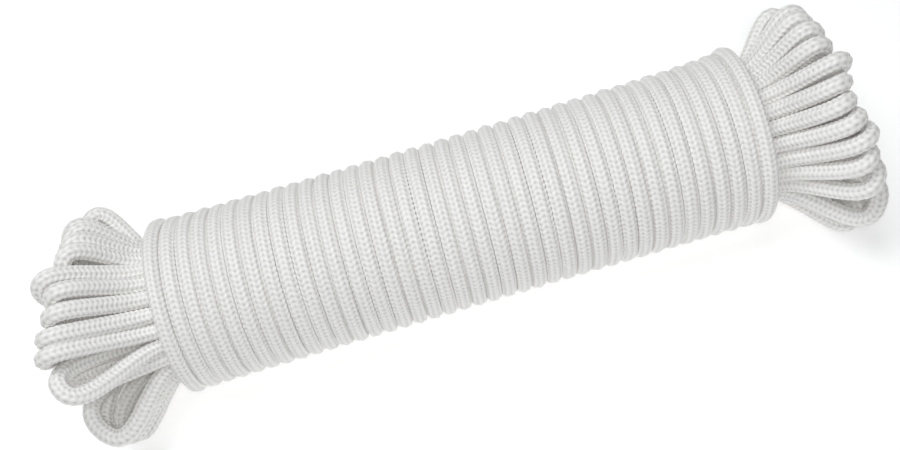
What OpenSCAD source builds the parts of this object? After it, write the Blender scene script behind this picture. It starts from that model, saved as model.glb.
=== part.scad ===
// Hank of braided dock line, put away for storage and lying on its side.
// One length of rope is laid back and forth in long loops, then wound closely round their middle,
// and its last end is tucked back under the winding. The loops' ends fan out past the winding.
// Millimetres. X runs along the hank and Z is up. The origin is the middle of the flat
// on which the middle turn of the winding rests.

/* [Rope] */
// Diameter of the rope
rope_d = 6; // [4:0.5:10]
// Clear space between neighbouring strands
strand_gap = 0.45; // [0.45:0.05:1.5]

/* [Loops] */
// How far the fan of loops spreads past the hank, to each side
fan_side = 20; // [14:1:30]
// How far the fan of loops spreads past the hank, upwards
fan_top = 18; // [12:1:28]
// Length of a plain loop past the winding
fan_reach = 30; // [26:1:45]
// Width of a loop's eye, as the pull on each side of its tip
eye_pull = 11; // [8:0.5:13]
// How far the core's loop reaches past the winding
core_reach = 40; // [34:1:50]

/* [Winding] */
// Turns round the middle of the hank
turns = 39; // [25:1:45]
// Rise of the winding's top from its waist to its ends
waist = 1.2; // [0:0.1:3]
// Extra rise of the first turn, over the spreading loops
first_lift = 2; // [0:0.5:4]
// Extra rise of the last turn, over the spreading loops
last_lift = 3; // [0:0.5:4]

/* [Ends] */
// Length of the tail that runs back under the winding
tail_run = 70; // [30:5:100]
// Distance from the middle of the hank to the hidden inner end
inner_end_offset = 60; // [20:5:90]
// Length of the melted part of each rope end
seal_l = 4; // [2:0.5:8]

/* [Hidden] */

white_braid = [0.93, 0.93, 0.92];
shaded_braid = [0.88, 0.88, 0.87];
melted_fibre = [0.80, 0.78, 0.72];

rope_r = rope_d / 2;
pitch = rope_d + strand_gap;
sides = 6;
flat_r = rope_r * cos(180 / sides);
// A faceted rope is pressed flat by a tenth of its diameter where it rests
rest_press = rope_d / 10;

// Strands lie in rings round the hank's axis: 24 places in the outer ring, 18 in the middle one,
// 6 in the deep one and a pair in the core. The outer ring has spare places at the seam,
// which hold the tail on the right and leave room for the lead on the left.
outer_places = 24;
middle_places = 18;
spare_places = 2;
loops = outer_places - spare_places;
slot = 360 / outer_places;
seam = 142;
first_slot = seam + slot * (spare_places + 1) / 2;
// The middle ring is as small as its strands allow, with steps in pitches
side_step = 1.03;
ring_step = 1.03;
core_step = 0.53;
middle_r = side_step * pitch / (2 * sin(180 / middle_places));
outer_r = middle_r + ring_step * pitch;
deep_r = middle_r - ring_step * pitch;
core_r = core_step * pitch;

// The winding has straight sides between its rings, and one side of each turn faces down
turn_rings = 10;
wrap_ease = 0.02;
last_ring = turns * turn_rings - 1;
first_angle = 180 - 180 / turn_rings;
wrap_r = (outer_r + rope_d + wrap_ease) / cos(180 / turn_rings);
axis_z = wrap_r * cos(180 / turn_rings) + flat_r - rest_press;
wrap_start = -pitch * (floor(turns / 2) + 0.5 / turn_rings);
wrap_end = wrap_start + pitch * last_ring / turn_rings;
wrap_third = turn_rings * round(turns / 3);

// Straight runs go on a little past the winding before they bend, and further inside the hank.
// Each ring has its radius, how far its runs go on, and their pull as a share of what is left.
run_on = rope_d / 3;
run_lag = rope_d * 2 / 3;
deep_lag = 3 * run_lag;
outer_pull = 0.42;
inner_pull = 0.5;
outer_ring = [outer_r, run_on, outer_pull];
middle_ring = [middle_r, run_on + run_lag, inner_pull];
deep_ring = [deep_r, run_on + deep_lag, inner_pull];
core_ring = [core_r, run_on + deep_lag, inner_pull];
half_steps = [0, 0.4, 0.75, 1];

// How each loop differs from a plain one, in order round the hank.
// How much further it reaches, in sixths of a rope
right_extra = [0, 0, 0, 2, 3, 4, 7, 5, 3, 1, 1, -1, 0, 0, -1, 0, 0, -1, -2, 0, 0, 0];
left_extra = [0, 1, 2, 2, 3, 3, 6, 10, 9, 9, 10, 6, 4, 5, -1, -2, -2, -2, -5, -3, 0];
extra_unit = rope_d / 6;
// How much wider it spreads, in hundredths
right_wide = [0, 0, 0, 0, 0, 0, 2, 1, 0, 0, 0, 0, 0, 0, 0, -2, -4, -4, -3, 0, 0, 0];
left_wide = [0, 0, 0, 0, -2, -2, -1, -26, 7, 1, 0, 0, 0, 0, -3, -5, -7, -6, 4, 2, 0];
// How much further round the hank its tip lies, in degrees
right_turn = [0, 0, 0, 0, -3, -6, -6, 2, 3, 3, 2, 1, 0, 0, 0, 0, 0, 0, 0, 0, 0, 0];
left_turn = [0, 0, 0, -2, -7, -12, -11, 2, 4, 9, 7, 6, 5, 2, 3, 0, 0, 0, 0, 0, 0];
// How much further it leans over, in degrees: the low loops in front show their eyes
right_lean = [0, 0, 0, 0, 0, 6, 28, 12, 4, 0, 0, 0, 0, 0, 0, 0, 0, 0, 0, 0, 0, 0];
left_lean = [0, 0, 0, 0, 0, -10, -36, -12, -56, 4, -4, -4, -4, 0, 4, 0, 0, 0, 0, 0, 0];
// How much harder its eye is pulled open, in sixths of a rope
right_eye = [0, 0, 0, 0, 0, 0, 7, 2, 0, 0, 0, 0, 0, 0, 0, 0, 0, 0, 0, 0, 0, 0];
left_eye = [0, 0, 0, 0, 0, 2, 9, -4, 3, 1, -1, 0, 0, 0, 0, 0, 0, 0, 0, 0, 0];

function unit(v) = v / norm(v);
// Outward direction at an angle round the hank's axis, measured from straight up
function outward(a) = [0, sin(a), cos(a)];
// Direction in which the rope is wound at that angle
function onward(a) = [0, cos(a), -sin(a)];
function end_x(side, past) = side > 0 ? wrap_end + past : wrap_start - past;
function place(side, past, across) = [end_x(side, past), 0, axis_z] + across;
function strand(side, ring, a) = place(side, ring[1], ring[0] * outward(a));

// Cubic curve from a to d, pulled towards b and c
function curve(a, b, c, d, t) =
    pow(1 - t, 3) * a + 3 * pow(1 - t, 2) * t * b + 3 * (1 - t) * t * t * c + pow(t, 3) * d;

// A loop's end from p0 out to its tip and back to p1, leaving along d0 and coming back along d1
function bight(p0, d0, p1, d1, tip, open) = concat(
    [for (t = half_steps) curve(p0, p0 + d0, tip + open, tip, t)],
    [for (i = [len(half_steps) - 2:-1:0]) curve(p1, p1 + d1, tip - open, tip, half_steps[i])]);

// Which way a loop's eye opens at its tip, leaning over from the outward direction
function opening(side, a, flare, lean) =
    let(point = side * cos(flare) * [1, 0, 0] + sin(flare) * outward(a))
    let(flat = unit(outward(a) - (outward(a) * point) * point))
    side * cos(lean) * flat - sin(lean) * onward(a);

// Loop end between two strands, each given as [ring, angle]
function run_pull(side, ring, reach) = [side * ring[2] * (reach - ring[1]), 0, 0];
function loop_end(side, from, to, reach, across, a, flare, lean, eye) =
    bight(strand(side, from[0], from[1]), run_pull(side, from[0], reach),
          strand(side, to[0], to[1]), run_pull(side, to[0], reach),
          place(side, reach, across), eye * opening(side, a, flare, lean));

// Each loop comes back one ring further in. Every fourth one goes down to the deep ring,
// except the last loop, which leads to the winding.
group = 4;
back_turns = [20, 30, 40, 60];
last_turn = 40;
deep_place = 1;
function outer_angle(k) = first_slot + slot * k;
function is_deep(k) = k % group == deep_place && k < loops - 1;
function back_strand(k) =
    let(start = outer_angle(group * floor(k / group)) - slot / 2)
    [is_deep(k) ? deep_ring : middle_ring, start + (k < loops - 1 ? back_turns[k % group] : last_turn)];

// The tips are spaced evenly, then crowd together towards the upper front of the hank.
// Underneath, they stay level with the hank, point straighter out and have narrow eyes.
crowd = 17;
crowd_angle = -30;
fan_curl = 1.15;
lean_share = 0.25;
deep_extra = rope_d / 2;
low_zone = rope_d * 5 / 3;
low_narrowing = 0.35;
low_eye = rope_d;
function outer_end(side, k) =
    let(out = [outer_ring, outer_angle(side > 0 ? k : k + 1)])
    let(back = back_strand(k))
    let(even = outer_angle(k) + slot * (side > 0 ? 1 : 3) / 4)
    let(turn = side > 0 ? right_turn[k] : left_turn[k])
    let(a = even - crowd * sin(even - crowd_angle) + turn)
    let(wide = 1 + (side > 0 ? right_wide[k] : left_wide[k]) / 100)
    let(high = (outer_r + fan_top) * cos(a))
    let(low = min(1, max(0, -outer_r - high) / low_zone))
    let(aside = (outer_r + fan_side) * sin(a) * (1 - low_narrowing * low))
    let(across = wide * [0, aside, max(-outer_r, high)])
    let(extra = extra_unit * (side > 0 ? right_extra[k] : left_extra[k]) + (is_deep(k) ? deep_extra : 0))
    let(reach = fan_reach + extra)
    let(flare = fan_curl * atan2(norm(across) - (outer_r + back[0][0]) / 2, reach))
    let(room = acos(min(1, pitch / (2 * norm(across) * sin(slot / 2)))))
    let(lean = lean_share * room * (1 - low) + (side > 0 ? right_lean[k] : left_lean[k]))
    let(eye_extra = extra_unit * (side > 0 ? right_eye[k] : left_eye[k]))
    let(eye = eye_pull + (low_eye - eye_pull) * low + eye_extra)
    loop_end(side, side > 0 ? out : back, side > 0 ? back : out, reach, across,
             atan2(across[1], across[2]), flare, lean, eye);

// The core holds the rope's first loop, which turns back straight out of the hank on the right
core_angle = 100;
core_eye = rope_d * 1.2;
core_end = loop_end(1, [core_ring, core_angle], [core_ring, core_angle + 180], core_reach, [0, 0, 0],
                    core_angle, 0, 0, core_eye);

// The loop on the left that goes from the core to the outer ring
crossing_reach = core_reach - rope_d / 3;
crossing_out = rope_d * 2.7;
crossing_angle = seam + 14;
crossing_flare = 6;
crossing_eye = rope_d * 1.7;
crossing = loop_end(-1, [core_ring, core_angle + 180], [outer_ring, first_slot],
                    crossing_reach, crossing_out * outward(crossing_angle),
                    crossing_angle, crossing_flare, 0, crossing_eye);

inner_end = [(wrap_start + wrap_end) / 2 - inner_end_offset, 0, axis_z] + core_r * outward(core_angle);
lead_from = back_strand(loops - 1);
lead_start = strand(-1, lead_from[0], lead_from[1]);

// Every loop end in the order in which the rope runs through it, right and left by turns
right_ends = concat([core_end], [for (k = [0:loops - 1]) outer_end(1, k)]);
left_ends = concat([crossing], [for (k = [0:loops - 2]) outer_end(-1, k)], [[lead_start]]);
hank_path = concat([inner_end],
                   [for (k = [0:len(right_ends) - 1]) each concat(right_ends[k], left_ends[k])]);

// The winding rises at its ends, where the loops spread, but not on the side that it rests on
function wrap_angle(i) = first_angle + 360 * i / turn_rings;
function wrap_x(i) = wrap_start + pitch * i / turn_rings;
function wrap_rise(x) =
    waist * pow((2 * x - wrap_start - wrap_end) / (wrap_end - wrap_start), 2)
    + first_lift * exp((wrap_start - x) / pitch)
    + last_lift * exp((x - wrap_end) / pitch);
function wrap_point(i) =
    let(a = wrap_angle(i))
    let(r = wrap_r + wrap_rise(wrap_x(i)) * (1 + cos(a)) / 2)
    [wrap_x(i), 0, axis_z] + r * outward(a);
wrap_path = [for (i = [0:last_ring]) wrap_point(i)];

// The lead comes out of the hank on the left and turns into the first turn of the winding
lead_reach = rope_d * 3.5;
lead_out = wrap_r;
lead_angle = seam + 3;
lead_flare = 50;
lead_lean = 60;
lead_pull = rope_d * 1.3;
lead_eye = rope_d * 1.3;
lead_way = unit(wrap_path[0] - wrap_path[1]);
lead_path = concat([lead_start],
    bight(lead_start - [rope_d, 0, 0], run_pull(-1, outer_ring, lead_reach),
          wrap_path[0] + rope_d * lead_way, lead_pull * lead_way,
          place(-1, lead_reach, lead_out * outward(lead_angle)),
          lead_eye * opening(-1, lead_angle, lead_flare, lead_lean)),
    [wrap_path[0]]);

// The tail leaves the last turn, bends round its edge and runs back in the spare slot
tail_reach = rope_d * 2.5;
tail_out = wrap_r + rope_d / 4;
tail_angle = seam + 2;
tail_flare = 20;
tail_lean = 40;
tail_pull = rope_d * 0.8;
tail_eye = rope_d * 1.3;
tail_slot_angle = seam + 6;
tail_way = unit(wrap_path[last_ring] - wrap_path[last_ring - 1]);
tail_slot = strand(1, outer_ring, tail_slot_angle);
tail_path = concat([wrap_path[last_ring]],
    bight(wrap_path[last_ring] + rope_d * tail_way, tail_pull * tail_way,
          tail_slot, run_pull(1, outer_ring, tail_reach),
          place(1, tail_reach, tail_out * outward(tail_angle)),
          tail_eye * opening(1, tail_angle, tail_flare, tail_lean)),
    [tail_slot - [tail_run, 0, 0]]);

// Direction of the rope at each point, halfway between the two sides that meet there
function ways(path) =
    let(last = len(path) - 1)
    [for (i = [0:last])
        i == 0 ? unit(path[1] - path[0])
        : i == last ? unit(path[last] - path[last - 1])
        : unit(unit(path[i + 1] - path[i]) + unit(path[i] - path[i - 1]))];

// Directions square to the rope, carried from point to point without twisting
function squared(v, way) = unit(v - (v * way) * way);
function carried(way, first) =
    [for (i = 0, v = squared(first, way[0]); i < len(way);
          i = i + 1, v = i < len(way) ? squared(v, way[i]) : v) v];

// Rings of points round a path, pressed up to the surface that the hank lies on
function rings(path, way, across) =
    [for (i = [0:len(path) - 1])
        let(other = cross(way[i], across[i]))
        [for (j = [0:sides - 1])
            let(a = 360 * (j + 0.5) / sides)
            let(p = path[i] + rope_r * (cos(a) * across[i] + sin(a) * other))
            [p[0], p[1], max(0, p[2])]]];

module tube(ring_list) {
    last = len(ring_list) - 1;
    polyhedron(
        points = [for (ring = ring_list) each ring],
        faces = concat(
            [for (i = [0:last - 1], j = [0:sides - 1])
                let(here = i * sides + j, beside = i * sides + (j + 1) % sides)
                each [[here, here + sides, beside], [beside, here + sides, beside + sides]]],
            [for (j = [1:sides - 2]) [0, j, j + 1]],
            [for (j = [1:sides - 2]) [last * sides, last * sides + j + 1, last * sides + j]]));
}

module rope(path, first) {
    way = ways(path);
    tube(rings(path, way, carried(way, first)));
}

// The winding's rings stay square to its axis, so that one flat side faces outward
wrap_ways = ways(wrap_path);
wrap_across = [for (i = [0:last_ring]) squared(outward(wrap_angle(i)), wrap_ways[i])];
wrap_rings = rings(wrap_path, wrap_ways, wrap_across);

module wrap_turns(from, to) {
    tube([for (i = [from:to]) wrap_rings[i]]);
}

module hank_loops() {
    color(shaded_braid) rope(hank_path, outward(core_angle));
}

module lead_in() {
    color(white_braid) rope(lead_path, outward(lead_angle));
}

module wrap_first_turns() {
    color(white_braid) wrap_turns(0, wrap_third);
}

module wrap_middle_turns() {
    color(white_braid) wrap_turns(wrap_third, 2 * wrap_third);
}

module wrap_last_turns() {
    color(white_braid) wrap_turns(2 * wrap_third, last_ring);
}

module tucked_tail() {
    color(white_braid) rope(tail_path, outward(wrap_angle(last_ring)));
}

// Rope end melted hard by a hot knife, with its rim rounded in two steps
module sealed_end() {
    rim = rope_d / 5;
    step = rim / 3;
    rotate_extrude()
        polygon([[0, 0], [rope_r, 0], [rope_r, seal_l - rim], [rope_r - step, seal_l - step],
                 [rope_r - rim, seal_l], [0, seal_l]]);
}

module inner_sealed_end() {
    color(melted_fibre) translate(inner_end) rotate([0, -90, 0]) sealed_end();
}

module tail_sealed_end() {
    color(melted_fibre) translate(tail_slot - [tail_run, 0, 0]) rotate([0, -90, 0]) sealed_end();
}

// Points along a path, at most a quarter of a rope apart
function dense(path) =
    [for (i = [0:len(path) - 2])
        let(n = ceil(norm(path[i + 1] - path[i]) / (rope_d / 4)))
        each [for (j = [0:n - 1]) path[i] + (path[i + 1] - path[i]) * j / n]];
function least(a, b) = min([for (p = a, q = b) norm(p - q)]);
// A path is compared with itself from half a turn on, round an eye two ropes wide
function own_least(a) =
    let(apart = ceil(4 * PI))
    min([for (i = [0:len(a) - 1 - apart], j = [i + apart:len(a) - 1]) norm(a[i] - a[j])]);
// Least clear space between the loop ends on one side
function group_gap(ends) =
    let(lines = [for (e = ends) if (len(e) > 1) dense(e)])
    min([for (i = [0:len(lines) - 1], j = [i:len(lines) - 1])
        i == j ? own_least(lines[i]) : least(lines[i], lines[j])]) - rope_d;
// Least clear space between neighbouring turns of the winding
function turn_gap() =
    min([for (i = [0:last_ring - turn_rings]) norm(wrap_path[i + turn_rings] - wrap_path[i])]) - rope_d;

union() {  // hank_loops
    echo(right_loops_gap = group_gap(concat(right_ends, [tail_path])));
    echo(left_loops_gap = group_gap(concat(left_ends, [lead_path])));
    echo(winding_gap = turn_gap());
}

hank_loops();
lead_in();
wrap_first_turns();
wrap_middle_turns();
wrap_last_turns();
tucked_tail();
inner_sealed_end();
tail_sealed_end();
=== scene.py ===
from collections import namedtuple
import bpy
import numpy as np
from mathutils import Matrix, Vector


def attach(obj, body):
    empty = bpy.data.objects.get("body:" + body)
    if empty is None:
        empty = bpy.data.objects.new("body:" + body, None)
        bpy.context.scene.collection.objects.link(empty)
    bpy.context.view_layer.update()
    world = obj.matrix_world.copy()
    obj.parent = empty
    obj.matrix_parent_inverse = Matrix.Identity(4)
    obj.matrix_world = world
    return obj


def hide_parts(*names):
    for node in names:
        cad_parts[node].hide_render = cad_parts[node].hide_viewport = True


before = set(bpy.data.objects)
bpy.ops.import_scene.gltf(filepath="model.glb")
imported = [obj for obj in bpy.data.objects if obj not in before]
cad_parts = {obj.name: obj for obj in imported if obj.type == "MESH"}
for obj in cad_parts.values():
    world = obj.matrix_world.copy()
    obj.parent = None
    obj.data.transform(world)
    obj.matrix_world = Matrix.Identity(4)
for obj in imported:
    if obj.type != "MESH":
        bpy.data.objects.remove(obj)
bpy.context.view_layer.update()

# The loops of the hank: one unbroken length of white rope, a tight braid of many yarns, laid back
# and forth by hand. One loop lies in the core and twenty-two round it, each of them running out
# in the outer ring and back one or two rings further in.
rope_d = 0.006
strand_gap = 0.00045
fan_side = 0.020
fan_top = 0.018
fan_reach = 0.030
eye_pull = 0.011
core_reach = 0.040
turns = 39
inner_end_offset = 0.060

pitch = rope_d + strand_gap
outer_places = 24
middle_places = 18
spare_places = 2
loops = outer_places - spare_places
slot = 360 / outer_places
seam = 142
first_slot = seam + slot * (spare_places + 1) / 2
side_step = 1.03
ring_step = 1.03
core_step = 0.53
middle_r = side_step * pitch / (2 * np.sin(np.pi / middle_places))
outer_r = middle_r + ring_step * pitch
deep_r = middle_r - ring_step * pitch
core_r = core_step * pitch

turn_rings = 10
tube_sides = 6
wrap_ease = 0.00002
rest_flat = rope_d / 10
wrap_flat_r = outer_r + rope_d + wrap_ease
wrap_r = wrap_flat_r / np.cos(np.pi / turn_rings)
axis_z = wrap_flat_r + rope_d / 2 * np.cos(np.pi / tube_sides) - rest_flat
wrap_start = -pitch * (turns // 2 + 0.5 / turn_rings)
wrap_end = wrap_start + pitch * (turns - 1 / turn_rings)
along_hank = np.array([1.0, 0, 0])
hank_middle = np.array([(wrap_start + wrap_end) / 2, 0, axis_z])
left = -1
right = 1

# Each ring of strands has its radius, how far its straight runs go on past the winding,
# and how strongly they pull.
Ring = namedtuple("Ring", "radius past pull")
run_on = rope_d / 3
run_lag = rope_d * 2 / 3
deep_lag = 3 * run_lag
outer_pull = 0.42
inner_pull = 0.5
outer_ring = Ring(outer_r, run_on, outer_pull)
middle_ring = Ring(middle_r, run_on + run_lag, inner_pull)
deep_ring = Ring(deep_r, run_on + deep_lag, inner_pull)
core_ring = Ring(core_r, run_on + deep_lag, inner_pull)

# How each loop differs from a plain one, in order round the hank: further out by sixths of a rope,
# wider by hundredths, turned further round and leaning further over by degrees, and its eye wider
# by sixths of a rope.
right_extra = [0, 0, 0, 2, 3, 4, 7, 5, 3, 1, 1, -1, 0, 0, -1, 0, 0, -1, -2, 0, 0, 0]
left_extra = [0, 1, 2, 2, 3, 3, 6, 10, 9, 9, 10, 6, 4, 5, -1, -2, -2, -2, -5, -3, 0]
right_wide = [0, 0, 0, 0, 0, 0, 2, 1, 0, 0, 0, 0, 0, 0, 0, -2, -4, -4, -3, 0, 0, 0]
left_wide = [0, 0, 0, 0, -2, -2, -1, -26, 7, 1, 0, 0, 0, 0, -3, -5, -7, -6, 4, 2, 0]
right_turn = [0, 0, 0, 0, -3, -6, -6, 2, 3, 3, 2, 1, 0, 0, 0, 0, 0, 0, 0, 0, 0, 0]
left_turn = [0, 0, 0, -2, -7, -12, -11, 2, 4, 9, 7, 6, 5, 2, 3, 0, 0, 0, 0, 0, 0]
right_lean = [0, 0, 0, 0, 0, 6, 28, 12, 4, 0, 0, 0, 0, 0, 0, 0, 0, 0, 0, 0, 0, 0]
left_lean = [0, 0, 0, 0, 0, -10, -36, -12, -56, 4, -4, -4, -4, 0, 4, 0, 0, 0, 0, 0, 0]
right_eye = [0, 0, 0, 0, 0, 0, 7, 2, 0, 0, 0, 0, 0, 0, 0, 0, 0, 0, 0, 0, 0, 0]
left_eye = [0, 0, 0, 0, 0, 2, 9, -4, 3, 1, -1, 0, 0, 0, 0, 0, 0, 0, 0, 0, 0]
right_changes = (right_extra, right_wide, right_turn, right_lean, right_eye)
left_changes = (left_extra, left_wide, left_turn, left_lean, left_eye)
extra_unit = rope_d / 6
curve_points = 120


def unit(vector):
    """The vector divided by its length."""
    return vector / np.linalg.norm(vector)


def outward(angle):
    """Outward direction at an angle round the hank's axis, in degrees from straight up."""
    return np.array([0, np.sin(np.radians(angle)), np.cos(np.radians(angle))])


def onward(angle):
    """Direction in which the rope is wound at that angle, a quarter turn on from outward."""
    return np.array([0, np.cos(np.radians(angle)), -np.sin(np.radians(angle))])


def place(side, past, across):
    """Point past one end of the winding, and that far across from the hank's axis."""
    return np.array([wrap_end + past if side > 0 else wrap_start - past, 0, axis_z]) + across


def strand(side, ring, angle):
    """Where a strand of a ring ends its straight run, at an angle round the hank."""
    return place(side, ring.past, ring.radius * outward(angle))


def run_pull(side, ring, reach):
    """How a straight run pulls its loop outwards: by a share of the reach that is left."""
    return side * ring.pull * (reach - ring.past) * along_hank


def curve(start, start_pull, end_pull, end):
    """Cubic curve between two points, drawn towards two others on its way, as an array of points."""
    t = np.linspace(0, 1, curve_points)[:, None]
    return ((1 - t) ** 3 * start + 3 * (1 - t) ** 2 * t * start_pull
            + 3 * (1 - t) * t * t * end_pull + t**3 * end)


def bight(begin, begin_pull, end, end_pull, tip, open_by):
    """A loop's end: a curve from its beginning to its tip, and one from the tip back to its end.
    Each leaves its strand along that strand's pull, and they meet at the tip in one direction."""
    out = curve(begin, begin + begin_pull, tip + open_by, tip)
    back = curve(end, end + end_pull, tip - open_by, tip)
    return np.vstack([out, back[-2::-1]])


def opening(side, angle, flare, lean):
    """Which way a loop's eye opens at its tip: square to where the loop points, which flares outwards,
    and leaning over from the outward direction. All angles are in degrees."""
    flare, lean = np.radians(flare), np.radians(lean)
    point = side * np.cos(flare) * along_hank + np.sin(flare) * outward(angle)
    flat = unit(outward(angle) - np.dot(outward(angle), point) * point)
    return side * np.cos(lean) * flat - np.sin(lean) * onward(angle)


def loop_end(side, begin, end, reach, across, angle, flare, lean, eye):
    """Loop end between two strands, each given as (ring, angle)."""
    return bight(strand(side, *begin), run_pull(side, begin[0], reach),
                 strand(side, *end), run_pull(side, end[0], reach),
                 place(side, reach, across), eye * opening(side, angle, flare, lean))


# Each loop comes back one ring further in. One loop in every group goes down to the deep ring,
# but not the last loop, which leads to the winding.
group = 4
back_turns = [20, 30, 40, 60]
last_turn = 40
deep_place = 1


def outer_angle(k):
    """Angle of place k in the outer ring: whole slots on from the first."""
    return first_slot + slot * k


def is_deep(k):
    """Whether loop k comes back in the deep ring."""
    return k % group == deep_place and k < loops - 1


def back_strand(k):
    """Ring and angle in which loop k comes back. The angle counts from half a slot before its group."""
    start = outer_angle(group * (k // group)) - slot / 2
    turn = back_turns[k % group] if k < loops - 1 else last_turn
    return (deep_ring if is_deep(k) else middle_ring, start + turn)


crowd = 17
crowd_angle = -30
fan_curl = 1.15
lean_share = 0.25
deep_extra = rope_d / 2
low_zone = rope_d * 5 / 3
low_narrowing = 0.35
low_eye = rope_d


def outer_end(side, k):
    """End of outer loop k. The tips are spaced evenly, then crowd together towards the upper front by
    the sine of their angle from there. Underneath, they stay level with the hank, point straighter out
    and have narrow eyes. Each eye leans over by a share of the room between its neighbours."""
    changes = right_changes if side > 0 else left_changes
    extra, wide, turn, more_lean, more_eye = (change[k] for change in changes)
    out = (outer_ring, outer_angle(k if side > 0 else k + 1))
    back = back_strand(k)
    even = outer_angle(k) + slot * (1 if side > 0 else 3) / 4
    tip_angle = np.radians(even - crowd * np.sin(np.radians(even - crowd_angle)) + turn)
    high = (outer_r + fan_top) * np.cos(tip_angle)
    low = min(1, max(0, -outer_r - high) / low_zone)
    aside = (outer_r + fan_side) * np.sin(tip_angle) * (1 - low_narrowing * low)
    across = (1 + wide / 100) * np.array([0, aside, max(-outer_r, high)])
    points_to = np.degrees(np.arctan2(across[1], across[2]))
    reach = fan_reach + extra_unit * extra + deep_extra * is_deep(k)
    far = np.linalg.norm(across)
    flare = fan_curl * np.degrees(np.arctan2(far - (outer_r + back[0].radius) / 2, reach))
    room = np.degrees(np.arccos(min(1, pitch / (2 * far * np.sin(np.radians(slot / 2))))))
    lean = lean_share * room * (1 - low) + more_lean
    eye = eye_pull + (low_eye - eye_pull) * low + extra_unit * more_eye
    begin, end = (out, back) if side > 0 else (back, out)
    return loop_end(side, begin, end, reach, across, points_to, flare, lean, eye)


# The rope starts inside the core, runs round the core's loop on the right, crosses on the left
# to the outer ring, and then goes round every outer loop in order.
core_angle = 100
core_eye = rope_d * 1.2
core_end = loop_end(right, (core_ring, core_angle), (core_ring, core_angle + 180), core_reach,
                    np.zeros(3), core_angle, 0, 0, core_eye)
crossing_reach = core_reach - rope_d / 3
crossing_out = rope_d * 2.7
crossing_angle = seam + 14
crossing_flare = 6
crossing_eye = rope_d * 1.7
crossing = loop_end(left, (core_ring, core_angle + 180), (outer_ring, first_slot), crossing_reach,
                    crossing_out * outward(crossing_angle), crossing_angle, crossing_flare, 0,
                    crossing_eye)

inner_end = hank_middle - inner_end_offset * along_hank + core_r * outward(core_angle)
lead_start = strand(left, *back_strand(loops - 1))
right_ends = [core_end] + [outer_end(right, k) for k in range(loops)]
left_ends = [crossing] + [outer_end(left, k) for k in range(loops - 1)] + [lead_start[None]]
loops_line = np.vstack([inner_end[None]] + [np.vstack(pair) for pair in zip(right_ends, left_ends)])

# The braid shows as eight rows of short plump floats, called wales, which slant left and right
# by turns, so that a pit is left wherever four of them meet.
wales = 8
stitch = 0.0021
float_slant = 0.5
end_fall = 2
side_fall = 2.8
pit_l = 0.36
pit_w = 0.38
rope_foot = 0.00280
yarn_rise = 0.00054
pit_depth = 0.0003
columns = 4 * wales
ring_gap = stitch / 4
hidden_rings = 32
same_point = 1e-9
count_slack = 1e-6
most_spread = 0.07
slack_swell = 0.12
slack_l = 0.012
Laid = namedtuple("Laid", "at centre way across")


def lay_rope(line, last_at, last_across):
    """Rings along a line of points, a quarter stitch apart, from a length of rope already laid.
    Inside the hank, where nothing shows, only every so many rings are kept.
    Gives each ring's length along the rope, its centre, the rope's direction there, and a direction
    square to that, which is carried from ring to ring without twisting."""
    step = np.linalg.norm(np.diff(line, axis=0), axis=1)
    moved = step > same_point
    line = line[np.concatenate([[True], moved])]
    along = last_at + np.concatenate([[0], np.cumsum(step[moved])])
    count = np.arange(np.ceil(last_at / ring_gap - count_slack), np.floor(along[-1] / ring_gap) + 1)
    at = count * ring_gap
    centre = np.column_stack([np.interp(at, along, part) for part in line.T])
    from_axis = np.hypot(centre[:, 1], centre[:, 2] - axis_z)
    between = (centre[:, 0] > wrap_start + rope_d) & (centre[:, 0] < wrap_end - rope_d)
    inside = between & (from_axis < outer_r + rope_d / 2)
    shown = ~inside | (count % hidden_rings == 0)
    shown[[0, -1]] = True
    at, centre = at[shown], centre[shown]
    way = np.gradient(centre, at, axis=0)
    way = way / np.linalg.norm(way, axis=1)[:, None]
    across = np.empty_like(way)
    for number, forward in enumerate(way):
        last_across = unit(last_across - np.dot(last_across, forward) * forward)
        across[number] = last_across
    return Laid(at, centre, way, across)


def braid_radius(along, around):
    """Radius of the rope at a length in stitches and a place round it in wales.
    Each float slants across its wale and stands highest in its middle, falling off as the square of the
    distance towards the next float and the next wale. A round pit is sunk where four floats meet."""
    wale = np.floor(around)
    sideways = around - wale - 0.5
    slanted = along + float_slant * (1 - 2 * (wale % 2)) * sideways
    endways = slanted - np.floor(slanted) - 0.5
    edge = np.floor(around + 0.5)
    ahead = along - float_slant * (0.5 - edge % 2)
    ahead = ahead - np.floor(ahead + 0.5)
    pit = np.maximum(0, 1 - (ahead / pit_l) ** 2 - ((around - edge) / pit_w) ** 2) ** 2
    rise = yarn_rise * (1 - end_fall * endways * endways) * (1 - side_fall * sideways * sideways)
    return rope_foot + rise - pit_depth * pit


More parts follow.
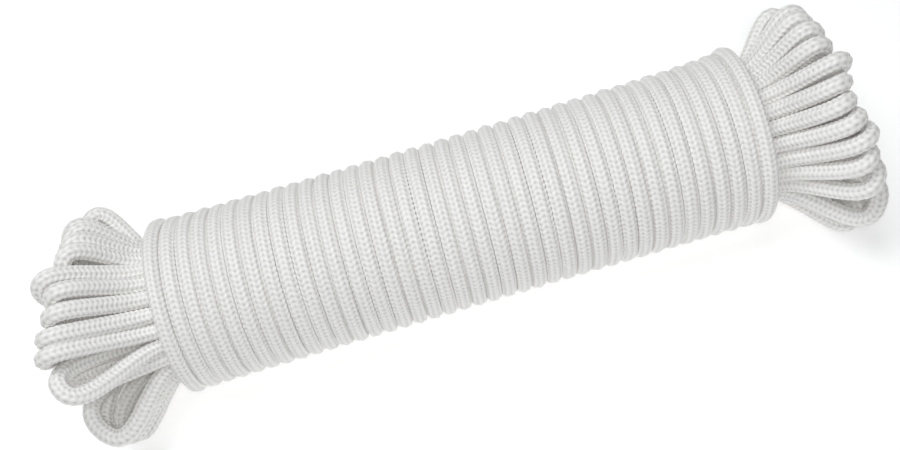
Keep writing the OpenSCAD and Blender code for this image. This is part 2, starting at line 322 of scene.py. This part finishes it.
def rope_mesh(name, laid, pressed):
    """Closed tube of braided rope round its rings. Past the winding, where nothing holds it, it swells.
    Where it is pressed between its neighbours along the hank, its round section spreads that way to an
    ellipse, which ends flat against them halfway between. It stays above the ground.
    One UV map counts stitches along the rope and wales round it, and one lays its faces out
    in strips for baking."""
    rings = len(laid.at)
    pressed = np.broadcast_to(pressed, rings)[:, None]
    around = np.arange(columns) * wales / columns
    past_end = np.maximum(wrap_start - laid.centre[:, 0], laid.centre[:, 0] - wrap_end)
    slack = np.clip(past_end / slack_l, 0, 1)[:, None]
    radius = braid_radius(laid.at[:, None] / stitch, around) * (1 + slack_swell * slack)
    turn = (2 * np.pi * np.arange(columns) / columns)[None, :, None]
    beside = np.cross(laid.way, laid.across)
    out = np.cos(turn) * laid.across[:, None] + np.sin(turn) * beside[:, None]
    offset = radius[..., None] * out
    room = np.where(pressed > 0, pitch / 2, rope_d)
    offset[..., 0] = np.clip(offset[..., 0] * (1 + most_spread * pressed), -room, room)
    points = laid.centre[:, None] + offset
    points[..., 2] = np.maximum(points[..., 2], 0)

    ring, column = (index.ravel() for index in
                    np.meshgrid(np.arange(rings - 1), np.arange(columns), indexing="ij"))
    ring_corners = ring[:, None] + np.array([0, 0, 1, 1])
    column_corners = column[:, None] + np.array([0, 1, 1, 0])
    quads = ring_corners * columns + column_corners % columns
    caps = np.concatenate([np.arange(columns)[::-1], (rings - 1) * columns + np.arange(columns)])
    corners = np.concatenate([quads.ravel(), caps])
    starts = np.concatenate([np.arange(len(quads)) * 4, len(quads) * 4 + columns * np.arange(2)])
    smooth = np.arange(len(starts)) < len(quads)

    mesh = bpy.data.meshes.new(name)
    mesh.vertices.add(rings * columns)
    mesh.vertices.foreach_set("co", points.astype(np.float32).ravel())
    mesh.loops.add(len(corners))
    mesh.loops.foreach_set("vertex_index", corners.astype(np.int32))
    mesh.polygons.add(len(starts))
    mesh.polygons.foreach_set("loop_start", starts.astype(np.int32))
    mesh.polygons.foreach_set("use_smooth", smooth)

    counted = np.stack([(laid.at / stitch)[ring_corners], column_corners * wales / columns], axis=-1)
    strip_l = int(np.ceil(np.sqrt((rings - 1) * (columns + 1))))
    strip = (ring // strip_l)[:, None]
    map_w = max(strip_l, (strip.max() + 1) * (columns + 1)) + 1
    laid_out = np.stack([ring_corners - strip * strip_l, column_corners + strip * (columns + 1)],
                        axis=-1) / map_w
    for map_name, uv in (("braid", counted), ("OFBake", laid_out)):
        layer = mesh.uv_layers.new(name=map_name)
        cap_uv = np.repeat(uv[:1, 0], 2 * columns, axis=0)
        all_uv = np.concatenate([uv.reshape(-1, 2), cap_uv])
        layer.data.foreach_set("uv", all_uv.astype(np.float32).ravel())
    mesh.uv_layers["braid"].active_render = True
    mesh.update(calc_edges=True)
    return mesh


class Wire:
    """One output of a material's nodes. Arithmetic on it adds Math nodes, and node() adds any other."""

    def __init__(self, tree, socket=None):
        self.tree = tree
        self.socket = socket

    def node(self, kind, settings, inputs, out=0):
        """A new node with these settings, and with a value or a Wire on each of these inputs."""
        made = self.tree.nodes.new(kind)
        for name, value in settings.items():
            setattr(made, name, value)
        for name, value in inputs.items():
            if isinstance(value, Wire):
                self.tree.links.new(value.socket, made.inputs[name])
            else:
                made.inputs[name].default_value = value
        return Wire(self.tree, made.outputs[out])

    def math(self, operation, *values):
        """A Math node on these values."""
        return self.node("ShaderNodeMath", {"operation": operation}, dict(enumerate(values)))

    def mix(self, share, first, second):
        """The first colour, with that share of the second in its place. On a Mix node, sockets 6 and 7
        take the colours, and socket 2 gives their mixture."""
        return self.node("ShaderNodeMix", {"data_type": "RGBA"}, {0: share, 6: first, 7: second}, 2)

    def feed(self, shader, name):
        """Links this output to an input of the shader."""
        self.tree.links.new(self.socket, shader.inputs[name])

    def __add__(self, other):
        return self.math("ADD", self, other)

    def __sub__(self, other):
        return self.math("SUBTRACT", self, other)

    def __rsub__(self, other):
        return self.math("SUBTRACT", other, self)

    def __mul__(self, other):
        return self.math("MULTIPLY", self, other)

    def __pow__(self, other):
        return self.math("POWER", self, other)

    __radd__ = __add__
    __rmul__ = __mul__


dullest_float = (0.95, 0.941, 0.922, 1)
whitest_float = (0.99, 0.981, 0.962, 1)
# Painted shade: this colour stands in for the shade in the pits and at the float edges, a little warm
# as from light bounced there; edge_shade and pit_shade set how much of it is painted at each.
painted_shade_colour = (0.64, 0.63, 0.607, 1)
edge_shade = 0.35
pit_shade = 0.55
least_pit = 0.5
filament_waves = 44
filament_rise = 0.04
fibre_bump = 0.9
fibre_bump_depth = 0.00025
crown_roughness = 0.34
deep_roughness = 0.4
fibre_specular = 0.5
fibre_sheen = 0.1


def braid_material():
    """White braided fibre. Floats are smoothest on their crowns, which fall off to nothing
    at their edges as the square of the distance, and shade is painted into their colour towards
    those edges, so that the crowns stand out as painted highlights. The pits between them carry painted
    shade, darker and a little warmer as from light bounced in them, some more than others. Each float
    has its own faint tone, and a sine wave across it stands for its filaments."""
    material = bpy.data.materials.new("white_braid")
    material.use_nodes = True
    shader = material.node_tree.nodes["Principled BSDF"]
    make = Wire(material.node_tree)
    count = make.node("ShaderNodeUVMap", {"uv_map": "braid"}, {})
    along = make.node("ShaderNodeSeparateXYZ", {}, {0: count}, 0)
    around = make.node("ShaderNodeSeparateXYZ", {}, {0: count}, 1)

    def chance(number, row):
        """A number from 0 to 1 that is fixed for each float or pit, by its number and its row."""
        which = make.node("ShaderNodeCombineXYZ", {}, {0: number, 1: row})
        return make.node("ShaderNodeTexWhiteNoise", {"noise_dimensions": "2D"}, {"Vector": which}, 0)

    wale = make.math("FLOOR", around)
    sideways = around - wale - 0.5
    slanted = along + float_slant * (1 - 2 * make.math("FLOORED_MODULO", wale, 2)) * sideways
    whole = make.math("FLOOR", slanted)
    endways = slanted - whole - 0.5
    edge = make.math("FLOOR", around + 0.5)
    ahead = along - float_slant * (0.5 - make.math("FLOORED_MODULO", edge, 2))
    nearest = make.math("FLOOR", ahead + 0.5)
    ahead = ahead - nearest
    beside = around - edge
    pit = make.math("MAXIMUM", 0, 1 - ahead * ahead * pit_l**-2 - beside * beside * pit_w**-2) ** 2
    pit_share = least_pit + (1 - least_pit) * chance(nearest, edge)
    crown = (1 - 4 * endways * endways) * (1 - 4 * sideways * sideways)
    # deep is the painted shade towards the float edges and into the pits, which also sinks the bump
    # there.
    deep = edge_shade * (1 - crown) + pit_shade * pit * pit_share
    filaments = make.math("SINE", endways * filament_waves)
    height = filaments * filament_rise - deep

    fibre = make.mix(chance(whole, wale), dullest_float, whitest_float)
    # Paints that shade into the base colour, leaving the crowns as painted highlights.
    make.mix(deep, fibre, painted_shade_colour).feed(shader, "Base Color")
    (crown_roughness + deep_roughness * deep).feed(shader, "Roughness")
    bump = {"Strength": fibre_bump, "Distance": fibre_bump_depth, "Height": height}
    make.node("ShaderNodeBump", {}, bump).feed(shader, "Normal")
    shader.inputs["Specular IOR Level"].default_value = fibre_specular
    shader.inputs["Sheen Weight"].default_value = fibre_sheen
    return material


white_braid = braid_material()


def rope_piece(name, node, laid, pressed=0):
    """One stretch of rope on its rings, in place of its CAD node, which is hidden."""
    piece = bpy.data.objects.new(name, rope_mesh(name, laid, pressed))
    piece.data.materials.append(white_braid)
    bpy.context.scene.collection.objects.link(piece)
    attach(piece, "root")
    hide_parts(node)
    laid.at[-1] - laid.at[0]


def stretch(laid, first, last):
    """The rings of a laid rope from the first to the last number, both of them included."""
    return Laid(*(part[first:last + 1] for part in laid))


loops_laid = lay_rope(loops_line, 0, outward(core_angle))
loops_per_piece = 6
mid_runs = np.flatnonzero(np.diff(np.sign(loops_laid.centre[:, 0])) < 0)
cuts = [0, *mid_runs[loops_per_piece - 1:-1:loops_per_piece], len(loops_laid.at) - 1]
for number, (first, last) in enumerate(zip(cuts[:-1], cuts[1:]), 1):
    rope_piece(f"hank_loops_{number}", "hank_loops", stretch(loops_laid, first, last))

# The lead: the rope's way out of the loops on the left. It turns over in a short eye
# under the hank and goes straight into the first turn of the winding, which is a spiral round the
# loops, drawn in at the middle and proud in its first and last turns.
waist = 0.0012
first_lift = 0.002
last_lift = 0.003
hand_slip = 0.00015
slip_rate = 2.3
wound_r = (wrap_flat_r + wrap_r) / 2
rest_width = 11
last_ring = turns * turn_rings - 1
first_angle = 180 - 180 / turn_rings
points_per_ring = 24


def wound(ring):
    """Points of the winding at ring numbers: a spiral round the hank, pressed in where it rests,
    whose upper side rises towards the ends as the square of the distance from the middle, and most
    of all in the first and last turns, where the rise dies away from turn to turn.
    A sine wave out of step with the turns makes it a little uneven, as a hand winds it."""
    angle = first_angle + 360 * ring / turn_rings
    x = wrap_start + pitch * ring / turn_rings
    rise = (waist * ((2 * x - wrap_start - wrap_end) / (wrap_end - wrap_start)) ** 2
            + first_lift * np.exp((wrap_start - x) / pitch) + last_lift * np.exp((x - wrap_end) / pitch)
            + hand_slip * (1 + np.sin(slip_rate * ring / turn_rings)))
    from_rest = (angle % 360 - 180) / rest_width
    radius = (wound_r - (wound_r - wrap_flat_r) * np.exp(-from_rest**2)
              + rise * (1 + np.cos(np.radians(angle))) / 2)
    y = radius * np.sin(np.radians(angle))
    z = axis_z + radius * np.cos(np.radians(angle))
    return np.stack([x, y, z], axis=-1)


winding_line = wound(np.linspace(0, last_ring, last_ring * points_per_ring + 1))
winding_way = unit(winding_line[1] - winding_line[0])
lead_reach = rope_d * 3.5
lead_out = wrap_r
lead_angle = seam + 3
lead_flare = 50
lead_lean = 60
lead_pull = rope_d * 1.3
lead_eye = rope_d * 1.3
lead_line = np.vstack([
    loops_laid.centre[-1:],
    bight(lead_start - rope_d * along_hank, run_pull(left, outer_ring, lead_reach),
          winding_line[0] - rope_d * winding_way, -lead_pull * winding_way,
          place(left, lead_reach, lead_out * outward(lead_angle)),
          lead_eye * opening(left, lead_angle, lead_flare, lead_lean)),
    winding_line[:1]])
lead_laid = lay_rope(lead_line, loops_laid.at[-1], loops_laid.across[-1])
rope_piece("lead_in_rope", "lead_in", lead_laid)

# The winding: the same rope wound by hand round the loops, turn beside turn, in thirty-nine turns.
# Its pieces are cut underneath, where the hank rests.
winding_route = np.vstack([lead_laid.centre[-1:], winding_line])
winding_laid = lay_rope(winding_route, lead_laid.at[-1], lead_laid.across[-1])
winding_nodes = ["wrap_first_turns", "wrap_middle_turns", "wrap_last_turns"]
pieces_per_node = 2
turn_cuts = [7, 13, 20, 26, 33]
turn_at = (winding_laid.centre[:, 0] - wrap_start) / pitch
held = np.clip(np.minimum(turn_at, turns - turn_at), 0, 1)
cuts = [0, *(np.argmin(np.abs(turn_at - cut)) for cut in turn_cuts), len(turn_at) - 1]
for number, (first, last) in enumerate(zip(cuts[:-1], cuts[1:])):
    rope_piece(f"winding_{number + 1}", winding_nodes[number // pieces_per_node],
               stretch(winding_laid, first, last), held[first:last + 1])

# The tail: the rope's last end. It bends round the edge of the last turn and is tucked back
# between the loops and the winding, which hold it.
tail_run = 0.070
tail_reach = rope_d * 2.5
tail_out = wrap_r + rope_d / 4
tail_angle = seam + 2
tail_flare = 20
tail_lean = 40
tail_pull = rope_d * 0.8
tail_eye = rope_d * 1.3
tail_slot_angle = seam + 6
tail_slot = strand(right, outer_ring, tail_slot_angle)
tail_way = unit(winding_line[-1] - winding_line[-2])
tail_line = np.vstack([
    winding_laid.centre[-1:],
    bight(winding_line[-1] + rope_d * tail_way, tail_pull * tail_way,
          tail_slot, run_pull(right, outer_ring, tail_reach),
          place(right, tail_reach, tail_out * outward(tail_angle)),
          tail_eye * opening(right, tail_angle, tail_flare, tail_lean)),
    tail_slot[None] - tail_run * along_hank])
tail_laid = lay_rope(tail_line, winding_laid.at[-1], winding_laid.across[-1])
rope_piece("tail_rope", "tucked_tail", tail_laid)

# The sealed ends: both cut ends of the rope, melted hard with a hot knife so that the braid
# can't open. The melt is a little yellowed, uneven and glossier than the fibre. They lie hidden
# inside the hank.
melt_dark = (0.62, 0.58, 0.48, 1)
melt_light = (0.74, 0.72, 0.65, 1)
melt_drop_scale = 900
melt_drop_detail = 3
melt_bump = 0.6
melt_bump_depth = 0.0003
melt_roughness = 0.25
melt_more_roughness = 0.3


def melted_material():
    """Melted fibre: uneven cream with darker, smoother drops, from noise at the size of the yarns."""
    material = bpy.data.materials.new("melted_fibre")
    material.use_nodes = True
    shader = material.node_tree.nodes["Principled BSDF"]
    make = Wire(material.node_tree)
    where = make.node("ShaderNodeTexCoord", {}, {}, "Object")
    noise = {"Vector": where, "Scale": melt_drop_scale, "Detail": melt_drop_detail}
    drops = make.node("ShaderNodeTexNoise", {}, noise, 0)
    make.mix(drops, melt_dark, melt_light).feed(shader, "Base Color")
    (melt_roughness + melt_more_roughness * drops).feed(shader, "Roughness")
    bump = {"Strength": melt_bump, "Distance": melt_bump_depth, "Height": drops}
    make.node("ShaderNodeBump", {}, bump).feed(shader, "Normal")
    return material


melted_fibre = melted_material()
for name in ("inner_sealed_end", "tail_sealed_end"):
    sealed_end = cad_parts[name]
    sealed_end.data.materials.clear()
    sealed_end.data.materials.append(melted_fibre)

# The camera: above and in front of the hank, and rolled so that the hank's right end rises.
# It looks at the middle of the hank's axis, which lies a little up and right of the picture's centre.
camera_away = 0.480
camera_elevation = np.radians(60)
camera_roll = np.radians(16.65)
picture_w = 900
focal_px = 1141
middle_at_px = np.array([9.9, 2.9])
sensor_w = 36
nearest_seen = 0.01

to_camera = np.array([0, -np.cos(camera_elevation), np.sin(camera_elevation)])
level_up = np.array([0, np.sin(camera_elevation), np.cos(camera_elevation)])
camera_right = np.cos(camera_roll) * along_hank - np.sin(camera_roll) * level_up
camera_up = np.sin(camera_roll) * along_hank + np.cos(camera_roll) * level_up
off_centre = middle_at_px * camera_away / focal_px
camera_at = (hank_middle + camera_away * to_camera
             - off_centre[0] * camera_right - off_centre[1] * camera_up)

camera = bpy.data.objects.new("camera", bpy.data.cameras.new("camera"))
camera.data.sensor_fit = "HORIZONTAL"
camera.data.sensor_width = sensor_w
camera.data.lens = sensor_w * focal_px / picture_w
camera.data.clip_start = nearest_seen
camera_turn = Matrix(np.column_stack([camera_right, camera_up, to_camera]).tolist())
camera.matrix_world = Matrix.Translation(camera_at) @ camera_turn.to_4x4()
bpy.context.scene.collection.objects.link(camera)
bpy.context.scene.camera = camera

# Floor and light: a plain pale table, which glows a little so that it comes out white, a wide soft lamp
# above and behind the hank, a small weak one just behind the camera, and a white room all round.
# Light bounces often, so that it reaches the hollows between the loops.
diffuse_bounces = 12
all_bounces = 16
floor_half = 12
floor_grey = 0.95
floor_roughness = 0.9
floor_glow = 0.30
room_light = 0.20
white = (1, 1, 1, 1)
lamp_colour = (0.97, 0.985, 1)
top_lamp_d = 0.8
top_lamp_power = 5.4
top_lamp_at = Vector((-0.2, 0.18, 1.0))
fill_lamp_d = 0.15
fill_lamp_power = 1.05
fill_lamp_away = 0.6

bpy.context.scene.view_settings.view_transform = "Standard"
bpy.context.scene.cycles.diffuse_bounces = diffuse_bounces
bpy.context.scene.cycles.max_bounces = all_bounces

floor_corners = [(x * floor_half, y * floor_half, 0) for x, y in ((-1, -1), (1, -1), (1, 1), (-1, 1))]
floor_mesh = bpy.data.meshes.new("floor")
floor_mesh.from_pydata(floor_corners, [], [(0, 1, 2, 3)])
floor = bpy.data.objects.new("floor", floor_mesh)
bpy.context.scene.collection.objects.link(floor)
pale = bpy.data.materials.new("pale_table")
pale.use_nodes = True
pale_shader = pale.node_tree.nodes["Principled BSDF"]
pale_shader.inputs["Base Color"].default_value = (floor_grey, floor_grey, floor_grey, 1)
pale_shader.inputs["Roughness"].default_value = floor_roughness
pale_shader.inputs["Specular IOR Level"].default_value = 0
pale_shader.inputs["Emission Color"].default_value = white
pale_shader.inputs["Emission Strength"].default_value = floor_glow
floor_mesh.materials.append(pale)

world = bpy.data.worlds.new("white_room")
world.use_nodes = True
world.node_tree.nodes["Background"].inputs["Color"].default_value = white
world.node_tree.nodes["Background"].inputs["Strength"].default_value = room_light
bpy.context.scene.world = world

fill_lamp_at = Vector(hank_middle + fill_lamp_away * to_camera)
lamps = [("top_lamp", top_lamp_d, top_lamp_power, top_lamp_at),
         ("fill_lamp", fill_lamp_d, fill_lamp_power, fill_lamp_at)]
for name, lamp_d, power, lamp_at in lamps:
    lamp = bpy.data.objects.new(name, bpy.data.lights.new(name, "AREA"))
    lamp.data.shape = "DISK"
    lamp.data.size = lamp_d
    lamp.data.energy = power
    lamp.data.color = lamp_colour
    lamp.visible_camera = False
    lamp_turn = (Vector(hank_middle) - lamp_at).to_track_quat("-Z", "Y")
    lamp.matrix_world = Matrix.Translation(lamp_at) @ lamp_turn.to_matrix().to_4x4()
    bpy.context.scene.collection.objects.link(lamp)
